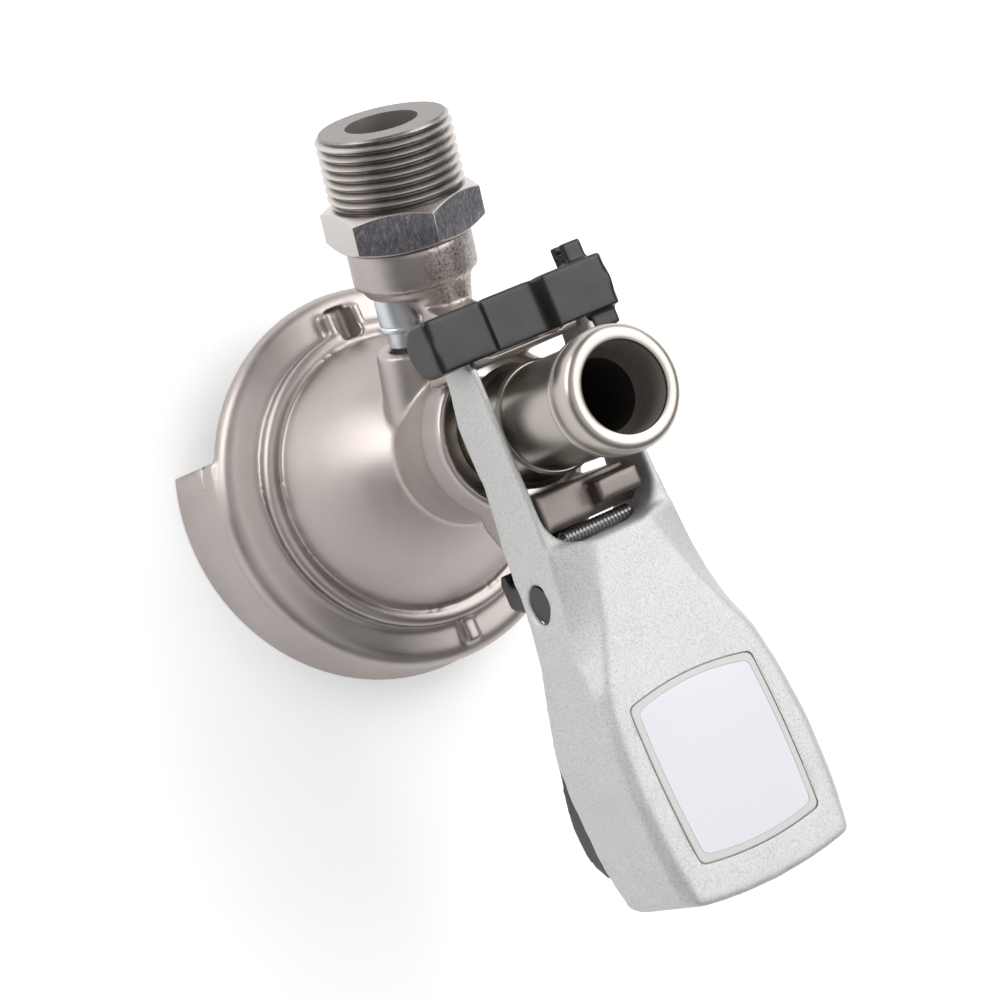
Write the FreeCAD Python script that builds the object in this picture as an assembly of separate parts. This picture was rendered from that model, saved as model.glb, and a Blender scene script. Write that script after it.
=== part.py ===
"""Keg coupler of the sliding type: a cast body with a gas inlet and a lever-driven probe.

The origin lies on the probe's axis at the bottom of the skirt, +Z up. The keg's
neck flange slides in from -X, the gas inlet points to -X and the handle to +X.
All sizes are in millimetres. The lever is modelled down, with the probe open.
"""
import FreeCAD, Part
import math
import os

from FreeCAD import Vector

# Named clearances
RUNNING = 0.05
FREE = 0.3

# Skirt and keg channel
skirt_centre_x = -2.5
skirt_r_bottom = 42.4
skirt_r_top = 38.9
skirt_top_z = 11.4
skirt_cut_x = -16.5
lip_height = 3.6
lip_r = 29.5
channel_r = 34.6
plate_z = 10.0

# Flange, bead and dome
flange_edge_r = 39.2
flange_edge_z = 10.9
flange_shoulder_r = 38.1
flange_shoulder_z = 13.2
flange_land_r = 35.9
flange_land_z = 14.1
flange_inner_r = 32.2
flange_inner_z = 14.4
bead_foot_z = 15.2
bead_r_out = 30.9
bead_r_in = 28.3
bead_top_z = 18.2
dome_base_r = 27.8
dome_base_z = 17.6
dome_bulge = 0.9
neck_foot_r = 14.4
neck_foot_z = 42.0
neck_top_r = 15.55
neck_top_z = 57.0
collar_r = 15.8
collar_top_z = 65.5
collar_chamfer = 0.8
recess_r = 14.3
recess_z = 61.0
gas_annulus_r = 12.6
guide_bottom_z = 53.0

# Finger pocket on the gas side and index lug opposite
pocket_x_out = -36.0
pocket_x_in = -29.0
pocket_half_width = 2.2
pocket_floor_z = 12.2
rib_width = 2.0
rib_top_z = 17.4
pocket_open_height = 1.0
lug_x_in = 30.7
lug_x_out = 36.6
lug_width = 3.0
lug_top_z = 16.0

# Probe
probe_r = 10.36
probe_bottom_z = 1.5
probe_top_z = 110.0
probe_bore_r = 7.0
outlet_r = 8.5
outlet_depth = 4.5
probe_rim_r = 11.8
probe_rim_z = 107.2
probe_groove_z = 103.5
probe_ring_r = 11.5
probe_step_r = 10.8
probe_step_z = 100.2
seat_hole_r = 4.0
seat_z = 10.0
tip_seal_z = 3.0
tip_seal_height = 3.5
tip_seal_r = 11.3
tip_groove_r = 8.6
check_ball_r = 5.0
check_ball_lift = 4.0
retainer_thickness = 1.6

# Probe collar that the lever drives
probe_flange_r = 12.0
probe_flange_z = 69.4
probe_flange_height = 2.0
probe_collar_r = 11.0
probe_collar_top_z = 80.4

# Lever hinge
hinge_x = -19.4
hinge_z = 79.7
hinge_pin_r = 2.0
hinge_pin_y_in = 8.6
lug_eye_r = 3.4
arm_inner_y = 12.4
arm_outer_y = 14.0
arm_top_z = 85.0
arm_eye_r = 5.0
block_front_x = -13.0
block_gap_y = 8.3
block_floor_z = 73.6
block_wall_x = -14.1

# Drive pins of the lever
drive_pin_r = 1.6
drive_pin_z = 77.0
drive_pin_y_in = 8.9
drive_boss_r = 5.0
drive_lift_x_back = 1.25
drive_lift_x_front = 0.19

# Latch block on the lever side
latch_x_in = 12.6
latch_x_out = 20.1
latch_half_width = 10.2
latch_top_z = 81.3
latch_raised_z = 85.3
latch_raised_x_in = 14.0
latch_raised_x_out = 18.6
latch_raised_y = 0.5
catch_x = 24.0
catch_top_z = 66.0
catch_edge_z = 62.8
catch_bottom_z = 60.6

# Gas inlet, measured inward from its face
gas_face = Vector(-63.0, 0.0, 63.8)
gas_tilt = 20.5
thread_r = 13.22
thread_length = 16.5
thread_chamfer = 1.05
gas_bore_r = 7.07
hex_across_flats = 27.0
hex_length = 8.0
hex_turn = 5.0
hex_edge_angle = 30.0
spigot_r = 9.6
spigot_length = 5.0
washer_thickness = 0.6
washer_r = 11.6
bulb_r_out = 12.1
bulb_r_in = 10.8
bulb_end = 33.0
bulb_round = 1.8
passage_y = 1.7
passage_offset = 6.0
passage_r = 4.7
passage_bore_r = 2.4
passage_length = 13.0
lobe_start = 29.0
lobe_end = 38.0
lobe_r = 9.0
lobe_y = 0.5
lobe_offset = 2.5
gas_bore_depth = 14.0
gas_chamber_r = 7.5
gas_seat_start = 15.0
gas_seat_thickness = 2.5
gas_seat_hole_r = 3.2
gas_ball_r = 4.5
gas_ball_travel = 1.6
gas_spring_r = 3.0
gas_spring_wire_r = 0.35

# Relief valve beside the inlet
relief_y = -4.5
relief_offset = -1.9
relief_r = 3.9
relief_length = 6.0
relief_neck_r = 3.1
relief_neck_length = 4.4
relief_bore_r = 2.7
relief_wall = 1.0
relief_port_r = 1.3
relief_head_r = 2.2
relief_head_thickness = 1.0
relief_seal_thickness = 0.6
relief_stem_r = 1.1
relief_stem_out = 0.8
relief_travel = 1.2
relief_spring_r = 1.85
relief_spring_wire_r = 0.25
relief_boss_start = 44.0
relief_boss_length = 16.0
relief_boss_r_mouth = 6.2
relief_boss_r_root = 7.4
relief_boss_hole_r = 3.6
relief_boss_hole_depth = 3.0

# Lever body
window_half_width = 12.4
window_end_x = 23.5
window_corner_r = 7.5
lever_end_x = 93.4
lever_end_bow = 2.4
lever_end_half_width = 20.4
lever_end_corner_r = 5.5
lever_wall = 1.7
hood_wall = 2.2
hood_z_at_origin = 87.1
hood_slope = 0.0664
cavity_start_x = 25.8
cavity_end_x = 88.6
badge_x_start = 54.3
badge_x_end = 85.1
badge_half_width = 14.0
badge_bow = 0.8
badge_corner_r = 2.6
badge_recess = 0.8
badge_gap = 0.9
badge_thickness = 0.9

# Hinge clip over the lever's end
clip_x_back = -24.6
clip_x_front = -14.4
clip_y_near = 19.5
clip_y_far = 20.9
clip_top_z = 84.9
clip_dip = 2.5
clip_dip_half_width = 5.6
clip_dip_ramp = 1.5
clip_edge_bevel = 0.8
clip_thickness = 1.5
clip_side_r = 5.2
clip_side_depth = 4.0
clip_tab_x = -28.5
clip_tab_y = 15.9
clip_tab_z_bottom = 75.6
clip_tab_z_top = 80.6
clip_end_inset = 0.6
clip_leg_x = -11.0
clip_leg_z_bottom = 76.0
clip_leg_z_top = 83.0
clip_slot_height = 2.0
clip_slot_depth = 2.2

# Trigger under the lever
trigger_pin_x = 31.4
trigger_pin_z = 76.1
trigger_pin_r = 3.5
trigger_hole_r = 3.6
trigger_eye_r = 5.2
trigger_leg_half_width = 11.0
trigger_wall = 2.0
trigger_floor = 2.2
trigger_spring_x = 21.9
trigger_spring_z = 78.0
trigger_spring_r = 1.1
trigger_spring_wire_r = 0.4
trigger_spring_y_start = -7.0
trigger_spring_y_end = 9.0

# Seals and gland in the body
keg_seal_r_in = 12.9
keg_seal_r_out = 18.0
keg_seal_depth = 2.0
keg_seal_proud = 0.7
neck_seal_z = 55.5
neck_seal_height = 3.0
neck_seal_r = 12.6
gland_thickness = 2.0

X_AXIS = Vector(1, 0, 0)
Y_AXIS = Vector(0, 1, 0)
Z_AXIS = Vector(0, 0, 1)
SPAN = 200.0

# The direction in which the gas inlet points, and its own up direction
gas_out = Vector(-math.cos(math.radians(gas_tilt)), 0, math.sin(math.radians(gas_tilt)))
gas_up = Vector(math.sin(math.radians(gas_tilt)), 0, math.cos(math.radians(gas_tilt)))


def polygon_face(points):
    """Plane face inside a closed outline of vectors."""
    return Part.Face(Part.makePolygon(list(points) + [points[0]]))


def turned(profile):
    """Solid of revolution about Z from (radius, z) points."""
    face = polygon_face([Vector(radius, 0, z) for radius, z in profile])
    return face.revolve(Vector(0, 0, 0), Z_AXIS, 360)


def cylinder(radius, z_from, z_to, x=0.0, y=0.0):
    """Upright cylinder between two heights."""
    return Part.makeCylinder(radius, z_to - z_from, Vector(x, y, z_from), Z_AXIS)


def cylinder_y(radius, x, z, y_from, y_to):
    """Cylinder along Y at a place in the XZ plane."""
    return Part.makeCylinder(radius, y_to - y_from, Vector(x, y_from, z), Y_AXIS)


def block(x_from, x_to, y_from, y_to, z_from, z_to):
    """Box between two corners."""
    size = Vector(x_to - x_from, y_to - y_from, z_to - z_from)
    return Part.makeBox(size.x, size.y, size.z, Vector(x_from, y_from, z_from))


def side_prism(outline, y_from, y_to):
    """Prism along Y from an outline of (x, z) points."""
    face = polygon_face([Vector(x, y_from, z) for x, z in outline])
    return face.extrude(Vector(0, y_to - y_from, 0))


def front_prism(outline, x_from, x_to):
    """Prism along X from an outline of (y, z) points."""
    face = polygon_face([Vector(x_from, y, z) for y, z in outline])
    return face.extrude(Vector(x_to - x_from, 0, 0))


def mirrored_pair(shape):
    """A shape and its mirror image across the XZ plane, as two solids."""
    return [shape, shape.mirror(Vector(0, 0, 0), Y_AXIS)]


def along_gas(shape, y=0.0, offset=0.0):
    """Moves a shape built along +Z, face at z 0 and inside below it, onto the gas axis."""
    base = gas_face + Vector(0, y, 0) + gas_up * offset
    turn = FreeCAD.Rotation(Z_AXIS, gas_out)
    placed = shape.copy()
    placed.Placement = FreeCAD.Placement(base, turn).multiply(shape.Placement)
    return placed


def coil_sleeve(radius, wire_r, length):
    """Sleeve that a helical spring of round wire fills, standing on z 0."""
    return cylinder(radius + wire_r, 0, length).cut(cylinder(radius - wire_r, -1, length + 1))


def rounded_ring(radius_in, radius_out, z_from, z_to):
    """Seal ring with bevelled corners."""
    bevel = 0.25 * min(radius_out - radius_in, z_to - z_from)
    return turned([
        (radius_in + bevel, z_from), (radius_out - bevel, z_from),
        (radius_out, z_from + bevel), (radius_out, z_to - bevel),
        (radius_out - bevel, z_to), (radius_in + bevel, z_to),
        (radius_in, z_to - bevel), (radius_in, z_from + bevel),
    ])


def body_shell():
    """Flange, bead, dome, neck and collar as one turned casting, still without its arms."""
    mid_r = (dome_base_r + neck_foot_r) / 2 + dome_bulge
    mid_z = (dome_base_z + neck_foot_z) / 2 + dome_bulge / 2
    points = [
        Vector(gas_annulus_r, 0, plate_z),
        Vector(flange_edge_r - 0.3, 0, plate_z),
        Vector(flange_edge_r, 0, plate_z + 0.3),
        Vector(flange_edge_r, 0, flange_edge_z),
    ]
    edges = [Part.LineSegment(a, b).toShape() for a, b in zip(points, points[1:])]
    shoulder = Vector(flange_shoulder_r, 0, flange_shoulder_z)
    land = [Vector(flange_land_r, 0, flange_land_z), Vector(flange_inner_r, 0, flange_inner_z),
            Vector(bead_r_out, 0, bead_foot_z)]
    edges.append(Part.Arc(points[-1], shoulder, land[0]).toShape())
    edges += [Part.LineSegment(a, b).toShape() for a, b in zip(land, land[1:])]
    bead_mid = Vector((bead_r_out + bead_r_in) / 2, 0, bead_top_z)
    bead_end = Vector(bead_r_in, 0, dome_base_z)
    edges.append(Part.Arc(land[-1], bead_mid, bead_end).toShape())
    dome_start = Vector(dome_base_r, 0, dome_base_z)
    neck_start = Vector(neck_foot_r, 0, neck_foot_z)
    edges.append(Part.LineSegment(bead_end, dome_start).toShape())
    edges.append(Part.Arc(dome_start, Vector(mid_r, 0, mid_z), neck_start).toShape())
    rest = [
        neck_start,
        Vector(neck_top_r, 0, neck_top_z),
        Vector(collar_r, 0, neck_top_z + 0.4),
        Vector(collar_r, 0, collar_top_z - collar_chamfer),
        Vector(collar_r - collar_chamfer, 0, collar_top_z),
        Vector(gas_annulus_r, 0, collar_top_z),
        points[0],
    ]
    edges += [Part.LineSegment(a, b).toShape() for a, b in zip(rest, rest[1:])]
    face = Part.Face(Part.Wire(edges))
    shell = face.revolve(Vector(0, 0, 0), Z_AXIS, 360)
    return shell.fuse(cylinder(gas_annulus_r, guide_bottom_z, collar_top_z))


def skirt():
    """Half skirt that carries the lip under the keg's flange."""
    cone = Part.makeCone(skirt_r_bottom, skirt_r_top, skirt_top_z, Vector(skirt_centre_x, 0, 0), Z_AXIS)
    cone = cone.cut(block(-SPAN, skirt_cut_x, -SPAN, SPAN, -SPAN, SPAN))
    channel = cylinder(channel_r, lip_height, plate_z)
    channel = channel.fuse(block(-SPAN, 0, -channel_r, channel_r, lip_height, plate_z))
    mouth = cylinder(lip_r, -1, lip_height + 0.01)
    mouth = mouth.fuse(block(-SPAN, 0, -lip_r, lip_r, -1, lip_height + 0.01))
    inside = cylinder(flange_edge_r - 2, plate_z, SPAN)
    return cone.cut(channel).cut(mouth).cut(inside)


def finger_pocket():
    """Ribs beside the pocket at the open side of the flange, and the pocket's own space."""
    ribs = []
    for side in (-1, 1):
        y_near = side * pocket_half_width
        y_far = side * (pocket_half_width + rib_width)
        ribs.append(block(pocket_x_out + 0.7, pocket_x_in + 0.6, min(y_near, y_far), max(y_near, y_far),
                          flange_land_z - 2.0, rib_top_z))
    space = block(pocket_x_out, pocket_x_in, -pocket_half_width, pocket_half_width, pocket_floor_z,
                  rib_top_z + pocket_open_height)
    return ribs, space


def hinge_block():
    """Yoke of the body between the lever's arms, with an eye lug on either side."""
    half_width = arm_inner_y - 2 * FREE
    back = hinge_x - lug_eye_r
    outline = [
        (block_front_x, 62.0), (block_front_x, hinge_z + lug_eye_r - 1.0),
        (block_front_x - 1.0, hinge_z + lug_eye_r), (hinge_x, hinge_z + lug_eye_r),
        (hinge_x, hinge_z), (back, hinge_z), (back, 70.0), (back + 4.0, 66.0),
    ]
    yoke = side_prism(outline, -half_width, half_width)
    yoke = yoke.fuse(cylinder_y(lug_eye_r, hinge_x, hinge_z, -half_width, half_width))
    gap = block(back - 2, block_wall_x, -block_gap_y, block_gap_y, block_floor_z, SPAN)
    web = side_prism([(block_front_x, 50.0), (block_front_x, 72.0), (back + 0.4, 71.0),
                      (back - 2.6, 63.0), (back - 5.2, 58.5), (back + 2.0, 51.0)], -4.6, 4.6)
    return yoke.cut(gap).fuse(web)


def latch_block():
    """Post with the stepped top that the lever closes over, and the catch lip at its foot."""
    foot_z = neck_top_z + 0.6
    outline = [
        (latch_x_in, foot_z), (latch_x_in + 3.0, foot_z), (latch_x_out, catch_bottom_z),
        (catch_x, catch_bottom_z), (catch_x, catch_edge_z), (latch_x_out, catch_top_z),
        (latch_x_out, latch_top_z - 1.0), (latch_x_out - 1.0, latch_top_z), (latch_x_in, latch_top_z),
    ]
    post = side_prism(outline, -latch_half_width, latch_half_width)
    lip_side = block(latch_x_out, catch_x + 1, latch_half_width - 2.4, SPAN, -SPAN, catch_top_z + 1)
    for piece in mirrored_pair(lip_side):
        post = post.cut(piece)
    raised = side_prism([
        (latch_raised_x_in, latch_top_z - 1), (latch_raised_x_out, latch_top_z - 1),
        (latch_raised_x_out, latch_raised_z - 0.8), (latch_raised_x_out - 0.8, latch_raised_z),
        (latch_raised_x_in, latch_raised_z)], latch_raised_y, latch_half_width)
    return post.fuse(raised)


def circle_wire(radius, y, offset, z):
    """Circle across the gas axis, before it is laid on that axis."""
    return Part.Wire(Part.makeCircle(radius, Vector(offset, y, z), Z_AXIS))


def gas_arm():
    """Bulb behind the inlet, the lobe that narrows from it and the arm, clear of the relief valve."""
    start = thread_length + hex_length + washer_thickness
    bulb = turned([
        (0, -start), (bulb_r_out - 0.6, -start), (bulb_r_out, -start - 0.6),
        (bulb_r_in + 0.1, -bulb_end + bulb_round), (bulb_r_in - 0.6, -bulb_end + 0.5),
        (bulb_r_in - bulb_round, -bulb_end), (0, -bulb_end)])
    lobe = Part.makeLoft([
        circle_wire(lobe_r, lobe_y, lobe_offset, -lobe_start),
        circle_wire(passage_r, passage_y, passage_offset, -lobe_end)], True, True)
    arm = cylinder(passage_r, -lobe_end - passage_length, -lobe_end, passage_offset, passage_y)
    valve_space = along_gas(cylinder(relief_r + FREE, -relief_boss_start, -bulb_end), relief_y, relief_offset)
    return along_gas(bulb.fuse(lobe).fuse(arm)).cut(valve_space)


def gas_hollows():
    """Inlet socket, gas passage to the annulus round the probe, and the relief port."""
    end = thread_length + hex_length + spigot_length
    socket = along_gas(cylinder(spigot_r, -end, 0))
    passage = along_gas(cylinder(passage_bore_r, -end - 17.0, -end + 0.5), passage_y, passage_offset)
    port = along_gas(cylinder(relief_port_r, -bulb_end - 0.5, -end + 0.5), relief_y, relief_offset)
    return [socket, passage, port]


def relief_boss():
    """Tapered boss on the neck that the relief valve points into."""
    root = -relief_boss_start - relief_boss_length
    cone = Part.makeCone(relief_boss_r_root, relief_boss_r_mouth, relief_boss_length, Vector(0, 0, root))
    return along_gas(cone, relief_y, relief_offset)


def relief_boss_hole():
    """Blind hole in the boss's mouth."""
    depth = relief_boss_start + relief_boss_hole_depth
    return along_gas(cylinder(relief_boss_hole_r, -depth, 0), relief_y, relief_offset)


def coupler_body():
    """The whole body casting."""
    solid = body_shell()
    ribs, pocket = finger_pocket()
    lug = block(lug_x_in, lug_x_out, -lug_width / 2, lug_width / 2, flange_land_z - 2.0, lug_top_z)
    for piece in [skirt(), lug, latch_block(), hinge_block()] + ribs:
        solid = solid.fuse(piece)
    solid = solid.fuse(relief_boss().cut(relief_boss_hole())).fuse(gas_arm())
    guide_r = probe_r + RUNNING
    hollows = [
        cylinder(gas_annulus_r, -1, guide_bottom_z),
        cylinder(guide_r, -1, SPAN),
        cylinder(recess_r, recess_z, collar_top_z),
        cylinder(keg_seal_r_out, plate_z, plate_z + keg_seal_depth),
        cylinder(neck_seal_r, neck_seal_z, neck_seal_z + neck_seal_height),
        cylinder_y(hinge_pin_r, hinge_x, hinge_z, -SPAN, SPAN),
        pocket,
    ]
    above_recess = cylinder(latch_x_in, collar_top_z - 0.01, SPAN)
    for piece in hollows + [above_recess] + gas_hollows():
        solid = solid.cut(piece)
    return solid.removeSplitter()


def keg_seal():
    """Rubber flange seal in the underside of the plate."""
    return rounded_ring(keg_seal_r_in, keg_seal_r_out, plate_z - keg_seal_proud, plate_z + keg_seal_depth)


def neck_seal():
    """Rubber seal between the neck and the probe."""
    ring = cylinder(neck_seal_r, neck_seal_z, neck_seal_z + neck_seal_height)
    return ring.cut(cylinder(probe_r + RUNNING, 0, SPAN))


def gland_ring():
    """Screwed ring that holds the probe's guide in the collar."""
    top = recess_z + gland_thickness
    return turned([
        (probe_r + RUNNING, recess_z), (recess_r, recess_z), (recess_r, top),
        (probe_r + RUNNING + 0.5, top), (probe_r + RUNNING, top - 0.5)])


def hinge_pins():
    """Two stub pins between the body's lugs and the lever's arms."""
    pin = cylinder_y(hinge_pin_r, hinge_x, hinge_z, hinge_pin_y_in, arm_outer_y - 0.1)
    return Part.makeCompound(mirrored_pair(pin))


def gas_nipple():
    """Inlet nipple: thread envelope, hexagon, the spigot in the bulb and a bore with a wider chamber."""
    hex_start = thread_length
    hex_end = thread_length + hex_length
    shank = turned([
        (0, 0), (thread_r - thread_chamfer, 0), (thread_r, -thread_chamfer),
        (thread_r, -hex_start), (0, -hex_start)])
    spigot = cylinder(spigot_r, -hex_end - spigot_length, -hex_end)
    corner_r = hex_across_flats / math.sqrt(3)
    corners = []
    for index in range(6):
        angle = math.radians(60 * index + hex_turn)
        corners.append(Vector(corner_r * math.cos(angle), corner_r * math.sin(angle), -hex_end))
    hexagon = polygon_face(corners).extrude(Vector(0, 0, hex_length))
    flat_r = hex_across_flats / 2
    edge = (corner_r - flat_r) * math.tan(math.radians(hex_edge_angle))
    turned_edges = turned([
        (0, -hex_end), (flat_r, -hex_end), (corner_r, -hex_end + edge),
        (corner_r, -hex_start - edge), (flat_r, -hex_start), (0, -hex_start)])
    solid = shank.fuse(hexagon.common(turned_edges)).fuse(spigot)
    solid = solid.cut(cylinder(gas_bore_r, -gas_bore_depth - 1, 1))
    solid = solid.cut(cylinder(gas_chamber_r, -SPAN, -gas_bore_depth))
    return along_gas(solid.removeSplitter())


def nipple_washer():
    """Sealing washer between the hexagon and the bulb."""
    start = thread_length + hex_length
    ring = cylinder(washer_r, -start - washer_thickness, -start)
    return along_gas(ring.cut(cylinder(spigot_r, -SPAN, 0)))


def gas_check_seat():
    """Seat ring of the gas check ball, pressed in the nipple's chamber."""
    end = gas_seat_start + gas_seat_thickness
    return along_gas(turned([
        (gas_seat_hole_r + 1.0, -gas_seat_start), (gas_chamber_r, -gas_seat_start), (gas_chamber_r, -end),
        (gas_seat_hole_r, -end), (gas_seat_hole_r, -gas_seat_start - 1.0)]))


def gas_ball_centre():
    """Depth of the check ball's centre below the inlet's face."""
    rise = math.sqrt(gas_ball_r ** 2 - gas_seat_hole_r ** 2)
    return gas_seat_start + gas_seat_thickness + rise + RUNNING


def gas_check_ball():
    """Ball that keeps beer out of the gas line."""
    return along_gas(Part.makeSphere(gas_ball_r, Vector(0, 0, -gas_ball_centre())))


def gas_check_spring():
    """Spring behind the check ball, standing on the floor of the socket."""
    floor = thread_length + hex_length + spigot_length
    contact = math.sqrt(gas_ball_r ** 2 - (gas_spring_r - gas_spring_wire_r) ** 2)
    start = gas_ball_centre() + contact + gas_ball_travel + FREE / 2
    spring = coil_sleeve(gas_spring_r, gas_spring_wire_r, floor - start)
    spring.translate(Vector(0, 0, -floor))
    return along_gas(spring)


def relief_valve_housing():
    """Barrel and neck of the relief valve."""
    barrel = cylinder(relief_r, -relief_length, 0)
    ring_z = -0.6 * relief_length
    groove = cylinder(relief_r + 1, ring_z - 0.25, ring_z + 0.25).cut(cylinder(relief_r - 0.25, -SPAN, 0))
    neck = cylinder(relief_neck_r, -relief_length - relief_neck_length, -relief_length)
    bore = cylinder(relief_bore_r, -relief_length + relief_wall, 0)
    stem_way = cylinder(relief_port_r, -SPAN, 0)
    solid = barrel.cut(groove).fuse(neck).cut(bore).cut(stem_way)
    solid.translate(Vector(0, 0, -bulb_end))
    return along_gas(solid.removeSplitter(), relief_y, relief_offset)


def relief_valve_seal():
    """Rubber disc on the poppet's head."""
    start = bulb_end + RUNNING
    disc = cylinder(relief_head_r, -start - relief_seal_thickness, -start)
    return along_gas(disc, relief_y, relief_offset)


def relief_valve_poppet():
    """Head and stem of the relief valve."""
    start = bulb_end + RUNNING + relief_seal_thickness
    stem_end = bulb_end + relief_length + relief_neck_length + relief_stem_out
    head = cylinder(relief_head_r, -start - relief_head_thickness, -start)
    stem = cylinder(relief_stem_r, -stem_end, -start - relief_head_thickness)
    return along_gas(head.fuse(stem).removeSplitter(), relief_y, relief_offset)


def relief_valve_spring():
    """Spring round the stem, standing on the barrel's end wall."""
    head_end = bulb_end + RUNNING + relief_seal_thickness + relief_head_thickness
    start = head_end + relief_travel + FREE / 2
    floor = bulb_end + relief_length - relief_wall
    spring = coil_sleeve(relief_spring_r, relief_spring_wire_r, floor - start)
    spring.translate(Vector(0, 0, -floor))
    return along_gas(spring, relief_y, relief_offset)


def drive_slots():
    """Spaces on both sides of the probe in which the lever's pins move."""
    reach = drive_pin_r + FREE
    slot = block(-drive_lift_x_back - reach, drive_lift_x_front + reach, drive_pin_y_in - FREE, SPAN,
                 drive_pin_z - reach, drive_pin_z + reach)
    return mirrored_pair(slot)


def probe_tube():
    """Probe: keg end with its seat, long tube and the ringed outlet."""
    tip_seal_top = tip_seal_z + tip_seal_height
    ring_top = probe_groove_z - 0.5
    solid = turned([
        (0, probe_bottom_z), (tip_groove_r - 0.6, probe_bottom_z), (probe_r - 0.8, probe_bottom_z + 0.5),
        (probe_r - 0.8, tip_seal_z), (tip_groove_r, tip_seal_z), (tip_groove_r, tip_seal_top),
        (probe_r, tip_seal_top), (probe_r, probe_step_z), (probe_step_r, probe_step_z),
        (probe_step_r, probe_step_z + 1.0), (probe_ring_r, probe_step_z + 1.5), (probe_ring_r, ring_top),
        (probe_step_r, ring_top + 0.2), (probe_step_r, ring_top + 1.0), (probe_rim_r, ring_top + 1.5),
        (probe_rim_r, probe_rim_z), (probe_rim_r - 0.5, probe_top_z - 1.2),
        (probe_rim_r - 1.5, probe_top_z), (0, probe_top_z)])
    solid = solid.cut(cylinder(seat_hole_r, 0, SPAN))
    solid = solid.cut(cylinder(probe_bore_r, seat_z, SPAN))
    solid = solid.cut(cylinder(outlet_r, probe_top_z - outlet_depth, SPAN))
    for slot in drive_slots():
        solid = solid.cut(slot)
    return solid


def probe_collar():
    """Flanged collar on the probe with the slots for the lever's pins."""
    flange_top = probe_flange_z + probe_flange_height
    solid = turned([
        (probe_r, probe_flange_z), (probe_flange_r - 0.3, probe_flange_z),
        (probe_flange_r, probe_flange_z + 0.3), (probe_flange_r, flange_top - 0.3),
        (probe_flange_r - 0.3, flange_top), (probe_collar_r, flange_top + 0.4),
        (probe_collar_r, probe_collar_top_z - 0.5), (probe_collar_r - 0.5, probe_collar_top_z),
        (probe_r, probe_collar_top_z)])
    for slot in drive_slots():
        solid = solid.cut(slot)
    return solid


def probe_tip_seal():
    """Rubber seal at the keg end of the probe."""
    return rounded_ring(tip_groove_r, tip_seal_r, tip_seal_z, tip_seal_z + tip_seal_height)


def check_ball_z():
    """Height of the product check ball on its seat."""
    return seat_z + math.sqrt(check_ball_r ** 2 - seat_hole_r ** 2) + RUNNING


def product_check_ball():
    """Ball that stops beer running back into the keg."""
    return Part.makeSphere(check_ball_r, Vector(0, 0, check_ball_z()))


def ball_retainer():
    """Cross inside the probe that keeps the ball from rising too far."""
    z_from = check_ball_z() + check_ball_r + check_ball_lift + FREE
    z_to = z_from + retainer_thickness
    ring = cylinder(probe_bore_r, z_from, z_to).cut(cylinder(probe_bore_r - 1.2, 0, SPAN))
    reach = probe_bore_r - 0.6
    bars = block(-reach, reach, -0.9, 0.9, z_from, z_to).fuse(block(-0.9, 0.9, -reach, reach, z_from, z_to))
    return ring.fuse(bars).removeSplitter()


def lever_width(x):
    """Half width of the lever at x, a gentle swelling towards its end."""
    stations = [(13, 14.0), (22, 14.4), (31, 15.3), (38, 16.5), (50, 18.5), (59, 19.8), (70, 20.7),
                (83, 20.2), (lever_end_x, 19.0)]
    for (x0, w0), (x1, w1) in zip(stations, stations[1:]):
        if x <= x1:
            return w0 + (w1 - w0) * max(0.0, x - x0) / (x1 - x0)
    return stations[-1][1]


def hood_z(x):
    """Height of the hood's top plane."""
    return hood_z_at_origin + hood_slope * x


def lever_outer():
    """Outer form of the hooded grip, lofted over its cross-sections."""
    stations = [
        (22.6, 5.6, 85.3), (27.0, 7.2, 84.8), (32.4, 9.1, 84.3), (37.6, 11.0, 84.1), (43.0, 13.4, 84.8),
        (50.0, 16.4, 88.0), (58.0, 17.8, 89.0), (70.0, 18.7, 89.8), (83.0, 18.2, 90.2),
        (lever_end_x, 17.0, 89.8),
    ]
    wires = []
    for x, crease, edge_z in stations:
        width = lever_width(x)
        corners = [(-width, 55), (-width, edge_z), (-crease, hood_z(x)), (crease, hood_z(x)),
                   (width, edge_z), (width, 55)]
        wires.append(Part.makePolygon([Vector(x, y, z) for y, z in corners + [corners[0]]]))
    return Part.makeLoft(wires, True, True)


def lever_deck():
    """Arms and the deck at the foot of the hood, as one outline extruded upwards."""
    x_front = hinge_x - arm_eye_r
    outline = [(x_front, -arm_outer_y), (13, -arm_outer_y), (24.5, -lever_width(24.5)),
               (24.5, lever_width(24.5)), (13, arm_outer_y), (x_front, arm_outer_y)]
    face = polygon_face([Vector(x, y, 55) for x, y in outline])
    return face.extrude(Vector(0, 0, arm_top_z - 55))


def lever_side_profile():
    """Side outline of the lever: round eye, scooped lower edge and the full depth of the grip."""
    seat_top = hinge_z + lug_eye_r
    lower = [(-11.7, 73.3), (-4.0, 70.4), (7.7, 70.9), (12.5, 69.8), (20.0, 68.7), (26.0, 68.7),
             (30.5, 69.8), (42.0, 70.2), (48.5, 68.8), (59.0, 66.4), (68.0, 67.0), (82.0, 68.3),
             (lever_end_x, 70.5)]
    outline = [(hinge_x, hinge_z - arm_eye_r)] + lower
    outline += [(lever_end_x, 100), (clip_x_front + 0.9, 100), (clip_x_front + 0.9, seat_top),
                (hinge_x - 3.0, seat_top), (hinge_x - 3.0, hinge_z), (hinge_x, hinge_z)]
    profile = side_prism(outline, -SPAN, SPAN)
    eye = cylinder_y(arm_eye_r, hinge_x, hinge_z, -SPAN, SPAN)
    eye = eye.cut(block(-SPAN, SPAN, -2 * SPAN, 2 * SPAN, seat_top, 2 * SPAN))
    return profile.fuse(eye)


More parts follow.
